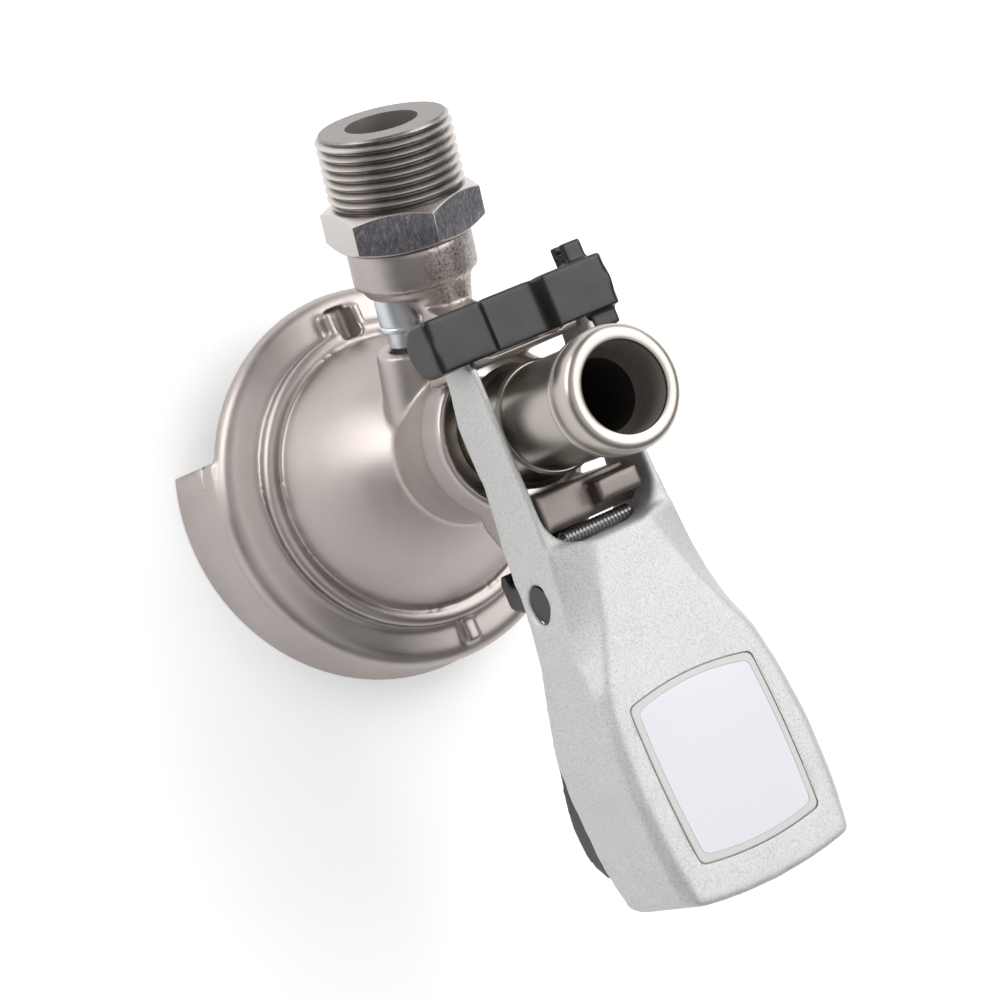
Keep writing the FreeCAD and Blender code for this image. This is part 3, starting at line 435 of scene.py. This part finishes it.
def worn_brass_plate():
    """Nickel on brass, darkened in the thread's grooves and rubbed bright on its crests."""
    material, tree, output = new_material("worn_nickel_on_brass")
    where = add_node(tree, "ShaderNodeTexCoord")
    place = [("Vector", where, "Object")]
    local = add_node(tree, "ShaderNodeMapping", {"vector_type": "TEXTURE"},
                     {"Location": GAS_FACE, "Rotation": (0, GAS_TURN, 0)}, place)
    flat = add_node(tree, "ShaderNodeVectorMath", {"operation": "MULTIPLY"}, {1: (1, 1, 0)},
                    [(0, local, "Vector")])
    radius = add_node(tree, "ShaderNodeVectorMath", {"operation": "LENGTH"},
                      links=[(0, flat, "Vector")])
    rise = add_node(tree, "ShaderNodeMapRange", (),
                    {"From Min": GROOVE_R * MM, "From Max": RUBBED_R * MM},
                    [("Value", radius, "Value")])
    mottle = add_node(tree, "ShaderNodeTexNoise", (),
                      {"Scale": 1 / (1.3 * MM), "Detail": 6.0, "Roughness": 0.7}, place)
    mixed = add_node(tree, "ShaderNodeMath", {"operation": "MULTIPLY_ADD"}, {1: 0.5},
                     [(0, mottle, "Fac"), (2, rise, "Result")])
    tone = add_node(tree, "ShaderNodeValToRGB", links=[("Fac", mixed, 0)], stops=WORN_TONES)
    scratch = add_node(tree, "ShaderNodeTexNoise", (),
                       {"Scale": 1 / (0.5 * MM), "Detail": 3.0}, place)
    shine = add_node(tree, "ShaderNodeMapRange", (), {"To Min": 0.22, "To Max": 0.42},
                     [("Value", mottle, "Fac")])
    bump = add_node(tree, "ShaderNodeBump", (), {"Strength": 0.35, "Distance": 0.04 * MM},
                    [("Height", scratch, "Fac")])
    metal = add_node(tree, "ShaderNodeBsdfPrincipled", (), {"Metallic": 1.0},
                     [("Base Color", tone, "Color"), ("Roughness", shine, "Result"),
                      ("Normal", bump, "Normal")])
    tree.links.new(metal.outputs[0], output.inputs[0])
    return material


def scratched_flats():
    """Dark oxidised plate of the hexagon's flats, crossed by fine pale scratches in two ways."""
    material, tree, output = new_material("scratched_dark_plate")
    where = add_node(tree, "ShaderNodeTexCoord")
    marks = []
    for turn_z, stretch in SCRATCH_WAYS:
        laid = add_node(tree, "ShaderNodeMapping", (),
                        {"Rotation": (0.3, turn_z, 0.9), "Scale": (1.0, stretch, 1.0)},
                        [("Vector", where, "Object")])
        lines = add_node(tree, "ShaderNodeTexNoise", (),
                         {"Scale": 1 / (1.4 * MM), "Detail": 6.0, "Roughness": 0.75},
                         [("Vector", laid, "Vector")])
        marks.append(lines)
    both = add_node(tree, "ShaderNodeMath", {"operation": "MAXIMUM"},
                    links=[(0, marks[0], "Fac"), (1, marks[1], "Fac")])
    tone = add_node(tree, "ShaderNodeValToRGB", links=[("Fac", both, 0)], stops=SCRATCH_TONES)
    shine = add_node(tree, "ShaderNodeMapRange", (),
                     {"From Min": 0.4, "From Max": 0.75, "To Min": 0.5, "To Max": 0.3},
                     [("Value", both, 0)])
    bump = add_node(tree, "ShaderNodeBump", (), {"Strength": 0.3, "Distance": 0.05 * MM},
                    [("Height", both, 0)])
    metal = add_node(tree, "ShaderNodeBsdfPrincipled", (), {"Metallic": 0.9},
                     [("Base Color", tone, "Color"), ("Roughness", shine, "Result"),
                      ("Normal", bump, "Normal")])
    tree.links.new(metal.outputs[0], output.inputs[0])
    return material


thread = object_from("thread", thread_blank())
envelope = object_from("envelope", turned(
    [(BORE_R, 0), (CREST_R - THREAD_CHAMFER, 0), (CREST_R, -THREAD_CHAMFER),
     (CREST_R, -THREAD_END + THREAD_RUNOUT), (ROOT_R + 0.05, -THREAD_END), (BORE_R, -THREAD_END)],
    ROUND_STEPS))
combine(thread, envelope, "INTERSECT")

bm = bmesh.new()
bmesh.ops.create_circle(bm, cap_ends=True, segments=6, radius=HEX_CORNER_R * MM)
prism = bmesh.ops.extrude_face_region(bm, geom=bm.faces[:])
far_end = [item for item in prism["geom"] if isinstance(item, bmesh.types.BMVert)]
bmesh.ops.translate(bm, verts=far_end, vec=(0, 0, -HEX_LENGTH * MM))
bmesh.ops.recalc_face_normals(bm, faces=bm.faces)
bmesh.ops.rotate(bm, verts=bm.verts, matrix=Matrix.Rotation(math.radians(HEX_TURN - 30), 3, "Z"))
bmesh.ops.translate(bm, verts=bm.verts, vec=(0, 0, -HEX_START * MM))
hexagon = object_from("hexagon", bm)
envelope = object_from("envelope", turned(
    [(CHAMBER_R, -HEX_START), (HEX_FLAT_R - HEX_CHAMFER_IN, -HEX_START),
     (HEX_CORNER_R, -HEX_START - HEX_CHAMFER_DROP), (HEX_CORNER_R, -HEX_END + HEX_CHAMFER_DROP),
     (HEX_FLAT_R - HEX_CHAMFER_IN, -HEX_END), (CHAMBER_R, -HEX_END)], ROUND_STEPS))
combine(hexagon, envelope, "INTERSECT")

bm = bmesh.new()
bm.from_mesh(hexagon.data)
bpy.data.objects.remove(hexagon)
bmesh.ops.remove_doubles(bm, verts=bm.verts, dist=2 * MERGE_GAP)
outside_r = 0.9 * HEX_FLAT_R * MM
# Painted highlight: the flat facing the light from the left takes the light plate, the others the dark
# scratched plate.
for face in bm.faces:
    middle = face.calc_center_median()
    if abs(face.normal.z) < 0.05 and middle.xy.length > outside_r:
        face.material_index = PLATED if face.normal.xy.dot(LIT_FLAT) > 0.9 else SCRATCHED
rims = [edge for edge in bm.edges if edge.is_manifold and edge.calc_face_angle() > 0.3
        and edge.verts[0].co.xy.length > outside_r]
bmesh.ops.bevel(bm, geom=rims, offset=HEX_EDGE * MM, segments=2, profile=0.5, affect="EDGES",
                clamp_overlap=True, material=PLATED)
neck = ((BORE_R, -THREAD_END + 0.3), (ROOT_R, -THREAD_END + 0.3), (ROOT_R, -HEX_START - 0.5),
        (BORE_R, -HEX_START - 0.5))
spigot = ((CHAMBER_R, -HEX_START - 0.2), (SPIGOT_R, -HEX_START - 0.2), (SPIGOT_R, -SPIGOT_END),
          (CHAMBER_R, -SPIGOT_END))
add_form(bm, turned(neck, ROUND_STEPS))
add_form(bm, turned(spigot, SMALL_ROUND_STEPS))
bm.from_mesh(thread.data)
bpy.data.objects.remove(thread)
for face in bm.faces:
    middle = face.calc_center_median()
    in_bore = middle.xy.length < (CHAMBER_R + 0.3) * MM
    on_face = face.normal.z > 0.9 and middle.z > -0.2 * MM
    if in_bore or on_face:
        face.material_index = MACHINED
bmesh.ops.transform(bm, verts=bm.verts, matrix=GAS_PLACE)
nipple = object_from("inlet_nipple", bm)
machined_bore = plain_finish("machined_inlet_bore", "87827f", metallic=0.5, roughness=0.42,
                             grain=0.5, relief=0.01)
dress(nipple, worn_brass_plate(), scratched_flats(), machined_bore)
settle(nipple, "body", "nipple_nickel", "gas_nipple")


# Lever: die-cast aluminium, sand-blasted all over, so it is pale and evenly matt with a fine
# glitter. The grain is drawn a little coarser than the real 0.2 mm so that it shows. The hood has
# a shallow recess with four bowed sides for the badge.
SAND_GRAIN = 0.34
ALUMINIUM_TONES = ((0.34, "aeaead"), (0.56, "cfcfce"), (0.74, "d9d9d8"))
LEVER_VOXEL = 0.46
LEVER_PASSES = 26
BADGE_CORNERS = ((54.1, -14.1), (85.3, -13.8), (85.3, 13.8), (54.1, 14.1))
BADGE_MIDDLE = 70.0
BADGE_BOWS = (0.55, 1.4, 0.55, 1.7)
BADGE_ROUND = 1.2
BADGE_DEPTH = 0.85
BADGE_SIDE_STEPS = 14
RECESS_LEVELS = ((0.0, 0.0), (0.0, 5.0))
HOOD_Z = 87.1
HOOD_SLOPE = 0.0664
BADGE_PLACE = (Matrix.Translation((0, 0, (HOOD_Z - BADGE_DEPTH) * MM))
               @ Matrix.Rotation(-math.atan(HOOD_SLOPE), 4, "Y"))


def blasted_aluminium():
    """Pale grey metal with a sandy relief and small dark pores."""
    material, tree, output = new_material("sand_blasted_aluminium")
    where = add_node(tree, "ShaderNodeTexCoord")
    place = [("Vector", where, "Object")]
    sand = add_node(tree, "ShaderNodeTexNoise", (),
                    {"Scale": 1 / (SAND_GRAIN * MM), "Detail": 5.0, "Roughness": 0.65}, place)
    broad = add_node(tree, "ShaderNodeTexNoise", (), {"Scale": 1 / (9.0 * MM), "Detail": 3.0}, place)
    mixed = add_node(tree, "ShaderNodeMath", {"operation": "MULTIPLY_ADD"}, {1: 0.12},
                     [(0, broad, "Fac"), (2, sand, "Fac")])
    tone = add_node(tree, "ShaderNodeValToRGB", links=[("Fac", mixed, 0)], stops=ALUMINIUM_TONES)
    bump = add_node(tree, "ShaderNodeBump", (), {"Strength": 0.55, "Distance": 0.08 * MM},
                    [("Height", sand, "Fac")])
    metal = add_node(tree, "ShaderNodeBsdfPrincipled", (), {"Metallic": 0.6, "Roughness": 0.58},
                     [("Base Color", tone, "Color"), ("Normal", bump, "Normal")])
    tree.links.new(metal.outputs[0], output.inputs[0])
    return material


def badge_loop(margin):
    """The badge's outline drawn in by a margin: four bowed sides joined by round corners."""
    corners = [Vector((x - margin * math.copysign(1, x - BADGE_MIDDLE), y - margin * math.copysign(1, y)))
               for x, y in BADGE_CORNERS]
    sides = []
    for index, bow in enumerate(BADGE_BOWS):
        start = corners[index]
        along = corners[(index + 1) % 4] - start
        outward = Vector((along.y, -along.x)).normalized()
        cut = BADGE_ROUND / along.length
        shares = [cut + (1 - 2 * cut) * step / BADGE_SIDE_STEPS for step in range(BADGE_SIDE_STEPS + 1)]
        sides.append([start + along * share + outward * (4 * bow * share * (1 - share))
                      for share in shares])
    spots = []
    for index, side in enumerate(sides):
        corner = corners[(index + 1) % 4]
        following = sides[(index + 1) % 4][0]
        spots += side
        for share in (0.25, 0.5, 0.75):
            spots.append((1 - share) ** 2 * side[-1] + 2 * share * (1 - share) * corner
                         + share ** 2 * following)
    return spots


def stacked(levels, rim_levels=0):
    """A closed form of badge outlines laid over one another, each one a (margin, height)."""
    bm = bmesh.new()
    rings = [[bm.verts.new((spot.x * MM, spot.y * MM, height * MM)) for spot in badge_loop(margin)]
             for margin, height in levels]
    for number, (low, high) in enumerate(zip(rings, rings[1:])):
        for index in range(len(low)):
            face = bm.faces.new((low[index - 1], low[index], high[index], high[index - 1]))
            face.material_index = 1 if number < rim_levels else 0
    bm.faces.new(rings[0])
    bm.faces.new(rings[-1])
    bmesh.ops.recalc_face_normals(bm, faces=bm.faces)
    bmesh.ops.transform(bm, verts=bm.verts, matrix=BADGE_PLACE)
    return bm


lever = softened("handle_casting", "lever_casting", LEVER_VOXEL, LEVER_PASSES)
combine(lever, object_from("recess", stacked(RECESS_LEVELS)), "DIFFERENCE")
dress(lever, blasted_aluminium())
settle(lever, "lever", "lever_aluminium", "handle_casting")


# Probe: drawn and turned stainless tube, polished bright, with a ringed outlet for the beer line.
# Its collar at the foot is the same steel, and the lever's pins reach into slots in both. The
# bore below the outlet is painted dark, a painted shade deep in the tube, and the outlet's
# counterbore keeps a lighter turned finish.
PROBE_PROFILE = (
    (4.0, 1.5), (8.0, 1.5), (9.56, 2.0), (9.56, 3.0), (8.6, 3.0), (8.6, 6.5), (10.36, 6.5),
    (10.36, 100.1), (10.75, 100.4), (10.8, 101.2), (11.4, 101.6), (11.5, 102.2), (11.4, 102.9),
    (10.8, 103.2), (10.8, 103.8), (11.6, 104.4), (11.8, 105.2), (11.8, 107.4), (11.6, 108.8),
    (11.1, 109.6), (10.5, 109.95), (10.0, 110.0), (9.1, 110.0), (8.65, 109.8), (8.5, 109.3),
    (8.5, 101.5), (7.0, 100.6), (7.0, 10.0), (4.0, 10.0))
PROBE_STEPS = 160
BORE_SKIN_R = 8.6
OUTLET_STEP_Z = 101.5
LIP_INSIDE_Z = 109.4
SLOT_REACH = 1.9
SLOT_BACK = -1.25
SLOT_FRONT = 0.19
SLOT_FLOOR_Y = 8.6
SLOT_CUT = 6.0
PIN_Z = 77.0
POLISHED, SHADED_BORE, TURNED = 0, 1, 2


def brushed_steel():
    """Polished tube with faint turning marks round it, which draw the highlights along the tube."""
    material, tree, output = new_material("polished_stainless_tube")
    where = add_node(tree, "ShaderNodeTexCoord")
    rings = add_node(tree, "ShaderNodeMapping", (), {"Scale": (0.02, 0.02, 1.0)},
                     [("Vector", where, "Object")])
    marks = add_node(tree, "ShaderNodeTexNoise", (), {"Scale": 1 / (0.3 * MM), "Detail": 3.0},
                     [("Vector", rings, "Vector")])
    bump = add_node(tree, "ShaderNodeBump", (), {"Strength": 0.25, "Distance": 0.006 * MM},
                    [("Height", marks, "Fac")])
    shine = add_node(tree, "ShaderNodeMapRange", (), {"To Min": 0.24, "To Max": 0.36},
                     [("Value", marks, "Fac")])
    metal = add_node(tree, "ShaderNodeBsdfPrincipled", (),
                     {"Metallic": 1.0, "Base Color": linear("b7b0a9")},
                     [("Roughness", shine, "Result"), ("Normal", bump, "Normal")])
    tree.links.new(metal.outputs[0], output.inputs[0])
    return material


tube = object_from("probe_tube_polished", turned(PROBE_PROFILE, PROBE_STEPS))
for side in (-1, 1):
    bm = bmesh.new()
    bmesh.ops.create_cube(bm, size=MM)
    size = (SLOT_FRONT - SLOT_BACK + 2 * SLOT_REACH, SLOT_CUT, 2 * SLOT_REACH)
    middle = ((SLOT_FRONT + SLOT_BACK) / 2, side * (SLOT_FLOOR_Y + SLOT_CUT / 2), PIN_Z)
    bmesh.ops.scale(bm, vec=size, verts=bm.verts)
    bmesh.ops.translate(bm, verts=bm.verts, vec=Vector(middle) * MM)
    combine(tube, object_from("slot", bm), "DIFFERENCE")
steel = brushed_steel()
# The second, dark finish is a painted shade for the deep bore.
dress(tube, steel,
      plain_finish("shaded_steel_bore", "4c4845", metallic=0.5, roughness=0.5, grain=0.6, relief=0.02),
      plain_finish("turned_outlet_bore", "a8a29b", metallic=0.45, roughness=0.36, grain=0.6, relief=0.01))
# Painted shade: faces of the deep bore below the outlet step take the dark finish.
for polygon in tube.data.polygons:
    if polygon.center.xy.length < BORE_SKIN_R * MM and polygon.center.z < LIP_INSIDE_Z * MM:
        polygon.material_index = TURNED if polygon.center.z > OUTLET_STEP_Z * MM else SHADED_BORE
settle(tube, "probe", "tube_steel", "probe_tube")
dress(nodes["probe_collar"], steel)


# Relief valve: a small chromed barrel with a turned ring, screwed into the bulb beside the inlet.
# The chrome is bluish against the warm nickel.
BARREL_PROFILE = (
    (2.7, 0), (4.0, 0), (4.25, -0.25), (4.25, -5.5), (4.1, -5.7), (4.1, -5.9), (4.35, -6.1),
    (4.35, -6.6), (4.1, -6.9), (3.5, -7.1), (3.3, -10.1), (3.0, -10.4), (1.3, -10.4), (1.3, -5.0),
    (2.7, -5.0))
BARREL_EDGE = 0.06
BARREL_PLACE = Vector((-1.9, -4.5, -33.0)) * MM

barrel = turned(BARREL_PROFILE, SMALL_ROUND_STEPS, BARREL_EDGE)
bmesh.ops.translate(barrel, verts=barrel.verts, vec=BARREL_PLACE)
bmesh.ops.transform(barrel, verts=barrel.verts, matrix=GAS_PLACE)
valve = object_from("relief_barrel", barrel)
dress(valve, plain_finish("satin_chrome", "d0d4da", metallic=0.85, roughness=0.36, grain=0.8, relief=0.004))
settle(valve, "body", "relief_chrome", "relief_valve_housing")


# Hinge clip and trigger: glass-filled nylon, injection moulded, with softly rounded edges and a
# dull sheen where fingers rub it. The trigger's grip is a little wider than its solid.
CLIP_VOXEL = 0.32
CLIP_PASSES = 14
TRIGGER_VOXEL = 0.45
TRIGGER_PASSES = 4
GRIP_START = 32.0
GRIP_BLEND = 14.0
GRIP_WIDENING = 0.035
NYLON_TONES = ((0.35, "080809"), (0.7, "121214"))


def moulded_nylon():
    """Black plastic with a fine spark-eroded texture and cloudy gloss."""
    material, tree, output = new_material("black_moulded_nylon")
    where = add_node(tree, "ShaderNodeTexCoord")
    place = [("Vector", where, "Object")]
    grain = add_node(tree, "ShaderNodeTexNoise", (), {"Scale": 1 / (0.35 * MM), "Detail": 4.0}, place)
    rubbed = add_node(tree, "ShaderNodeTexNoise", (), {"Scale": 1 / (6.0 * MM), "Detail": 4.0}, place)
    tone = add_node(tree, "ShaderNodeValToRGB", links=[("Fac", rubbed, "Fac")], stops=NYLON_TONES)
    shine = add_node(tree, "ShaderNodeMapRange", (),
                     {"From Min": 0.3, "From Max": 0.7, "To Min": 0.26, "To Max": 0.40},
                     [("Value", rubbed, "Fac")])
    bump = add_node(tree, "ShaderNodeBump", (), {"Strength": 0.35, "Distance": 0.03 * MM},
                    [("Height", grain, "Fac")])
    skin = add_node(tree, "ShaderNodeBsdfPrincipled", (), {"Metallic": 0.0},
                    [("Base Color", tone, "Color"), ("Roughness", shine, "Result"),
                     ("Normal", bump, "Normal")])
    tree.links.new(skin.outputs[0], output.inputs[0])
    return material


nylon = moulded_nylon()
clip = softened("hinge_clip", "clip_moulding", CLIP_VOXEL, CLIP_PASSES)
dress(clip, nylon)
settle(clip, "lever", "clip_plastic", "hinge_clip")
finger = softened("trigger", "trigger_moulding", TRIGGER_VOXEL, TRIGGER_PASSES)
for vertex in finger.data.vertices:
    share = min(1.0, max(0.0, (vertex.co.x / MM - GRIP_START) / GRIP_BLEND))
    vertex.co.y *= 1.0 + GRIP_WIDENING * share
dress(finger, nylon)
settle(finger, "trigger", "trigger_plastic", "trigger")
dress(nodes["trigger_pin"], nylon)
dress(nodes["nipple_washer"], nylon)


# Trigger spring: stainless wire wound close round the trigger's stop, behind the window's edge.
# Drawn wire is smooth and bright, so each turn takes its own highlight.
SPRING_PLACE = Vector((21.9, 0.0, 78.0)) * MM
SPRING_START = -7.0
SPRING_END = 9.0
SPRING_R = 1.1
WIRE_R = 0.38
WIRE_SIDES = 10
COIL_STEPS = 20
COILS = 19

bm = bmesh.new()
bmesh.ops.create_circle(bm, cap_ends=True, segments=WIRE_SIDES, radius=WIRE_R * MM)
bmesh.ops.rotate(bm, verts=bm.verts, matrix=Matrix.Rotation(math.pi / 2, 3, "X"))
bmesh.ops.rotate(bm, verts=bm.verts, matrix=Matrix.Rotation(math.pi / 2, 3, "Z"))
bmesh.ops.translate(bm, verts=bm.verts, vec=(0, (SPRING_START + WIRE_R) * MM, SPRING_R * MM))
length = (SPRING_END - SPRING_START - 2 * WIRE_R) * MM
bmesh.ops.spin(bm, geom=bm.verts[:] + bm.edges[:] + bm.faces[:], cent=(0, 0, 0), axis=(0, 1, 0),
               dvec=(0, length / (COIL_STEPS * COILS), 0), angle=2 * math.pi * COILS,
               steps=COIL_STEPS * COILS)
bmesh.ops.recalc_face_normals(bm, faces=bm.faces)
bmesh.ops.translate(bm, verts=bm.verts, vec=SPRING_PLACE)
coil = object_from("trigger_coil", bm)
dress(coil, plain_finish("drawn_spring_steel", "dadadc", metallic=1.0, roughness=0.14, grain=0.8,
                         relief=0.004))
settle(coil, "lever", "spring_steel", "trigger_spring")


# Badge: a thin moulded plate pressed into the hood, with a raised face of white gloss inside a
# matt grey rim.
BADGE_STEPS = ((0.22, 0.0), (0.22, 0.68), (0.36, 0.82), (1.35, 0.86), (1.43, 0.76), (1.52, 0.76),
               (1.6, 0.88), (2.0, 0.92))
BADGE_RIM_STEPS = 5

badge = object_from("badge_moulding", stacked(BADGE_STEPS, BADGE_RIM_STEPS))
dress(badge,
      plain_finish("white_gloss_badge", "dfe0e6", metallic=0.0, roughness=0.2, grain=2.0, relief=0.002),
      plain_finish("pale_grey_rim", "d0d1cf", metallic=0.0, roughness=0.4, grain=0.6, relief=0.01))
settle(badge, "lever", "badge_white", "badge_plate")


# Small pieces that keep their CAD form: steel pins, springs and the ball are ground and polished,
# seals are moulded rubber, and the seat and retainer are turned from acetal.
SMALL_PIECES = (
    (plain_finish("polished_stainless", "d0ccc6", metallic=1.0, roughness=0.14, grain=0.4, relief=0.004),
     ("gland_ring", "hinge_pins", "drive_pins", "product_check_ball", "gas_check_spring",
      "relief_valve_poppet", "relief_valve_spring")),
    (plain_finish("black_rubber", "151515", metallic=0.0, roughness=0.6, grain=0.5, relief=0.02),
     ("keg_seal", "neck_seal", "probe_tip_seal", "relief_valve_seal", "gas_check_ball")),
    (plain_finish("natural_acetal", "dcdcd4", metallic=0.0, roughness=0.4, grain=0.5, relief=0.01),
     ("gas_check_seat", "ball_retainer")))

for material, names in SMALL_PIECES:
    for name in names:
        dress(nodes[name], material)
